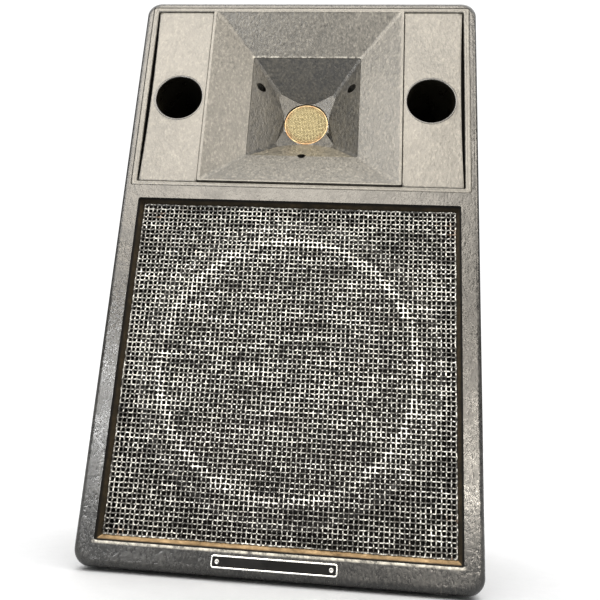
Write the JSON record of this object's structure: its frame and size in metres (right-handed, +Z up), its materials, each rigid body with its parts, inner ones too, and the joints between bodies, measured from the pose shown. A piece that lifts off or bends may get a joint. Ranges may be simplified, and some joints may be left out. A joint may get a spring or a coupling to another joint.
{
  "type": "pa speaker",
  "caption": "Two-way loudspeaker for live sound: moulded cabinet, steel grille over the woofer, and a square horn tweeter between two round vents.",
  "frame": {"origin": "on the floor under the middle of the cabinet, level with the undersides of the four feet", "axes": "+Z up, +X to the right seen from the front, +Y from the front towards the back"},
  "size_m": [0.368, 0.288, 0.601],
  "materials": {
    "cabinet_plastic": "pebble-grained structural foam plastic",
    "panel_plastic": "fine-grained moulded plastic, a little lighter",
    "grille_paint": "worn grey-black paint on steel wire",
    "gold_mesh": "fine gold-coloured mesh",
    "rubber": "matt",
    "closed_foam": "closed-cell foam",
    "wadding": "polyester wadding",
    "zinc_steel": "zinc plated",
    "black_steel": "black paint",
    "ferrite": "raw ferrite",
    "cone_paper": "treated paper pulp",
    "spider_cloth": "phenolic-dipped cotton",
    "copper_coil": "enamelled copper",
    "dome_fabric": "coated silk dome",
    "chrome": "nickel plated",
    "badge": "black enamel with a bare raised border",
    "gloss_black": "black nylon",
    "aluminium": "satin",
    "circuit_board": "fibre board",
    "capacitor_sleeve": "shrink sleeve",
    "lead_insulation": "insulated lead"
  },
  "bodies": {
    "cabinet": {"front_shell": "cabinet_plastic", "rear_shell": "cabinet_plastic", "joint_seal": "closed_foam", "grille": "grille_paint", "badge_plate": "badge", "badge_rivet_left": "aluminium", "badge_rivet_right": "aluminium", "top_bezel": "panel_plastic", "vent_panel_left": "panel_plastic", "vent_panel_right": "panel_plastic", "vent_tube_left": "cabinet_plastic", "vent_tube_right": "cabinet_plastic", "horn": "panel_plastic", "tweeter_screen": "gold_mesh", "tweeter_faceplate": "aluminium", "tweeter_top_plate": "zinc_steel", "tweeter_magnet": "ferrite", "tweeter_yoke": "zinc_steel", "woofer_basket": "black_steel", "woofer_gasket": "closed_foam", "woofer_top_plate": "zinc_steel", "woofer_magnet": "ferrite", "woofer_yoke": "zinc_steel", "input_plate": "black_steel", "input_jack_left": "gloss_black", "input_jack_right": "gloss_black", "jack_nut_left": "chrome", "jack_nut_right": "chrome", "plate_screw_left": "black_steel", "plate_screw_right": "black_steel", "crossover_board": "circuit_board", "crossover_coil": "copper_coil", "crossover_capacitor": "capacitor_sleeve", "woofer_lead": "lead_insulation", "tweeter_lead": "lead_insulation", "damping_pad": "wadding", "stand_socket": "cabinet_plastic", "handle_cup_left": "cabinet_plastic", "handle_cup_right": "cabinet_plastic", "joint_screw_1": "zinc_steel", "foot_1": "rubber", "woofer_screw_1": "black_steel", "joint_screw_2": "zinc_steel", "foot_2": "rubber", "woofer_screw_2": "black_steel", "joint_screw_3": "zinc_steel", "foot_3": "rubber", "woofer_screw_3": "black_steel", "joint_screw_4": "zinc_steel", "foot_4": "rubber", "woofer_screw_4": "black_steel", "tweeter_screw_1": "zinc_steel", "tweeter_screw_2": "zinc_steel", "tweeter_screw_3": "zinc_steel"},
    "cone_unit": {"woofer_cone": "cone_paper", "woofer_dust_cap": "cone_paper", "woofer_voice_coil": "copper_coil", "woofer_surround": "rubber", "woofer_spider": "spider_cloth"},
    "dome_unit": {"tweeter_dome": "dome_fabric"}
  },
  "joints": [
    {"name": "woofer_travel", "type": "slide", "parent": "cabinet", "child": "cone_unit", "axis": [0, -1, 0], "range_m": [-0.004, 0.004], "stiffness_N_per_m": 2200, "deforming": ["woofer_surround", "woofer_spider"]},
    {"name": "tweeter_travel", "type": "slide", "parent": "cabinet", "child": "dome_unit", "axis": [0, -1, 0], "range_m": [-0.0004, 0.0004], "stiffness_N_per_m": 6000}
  ]
}
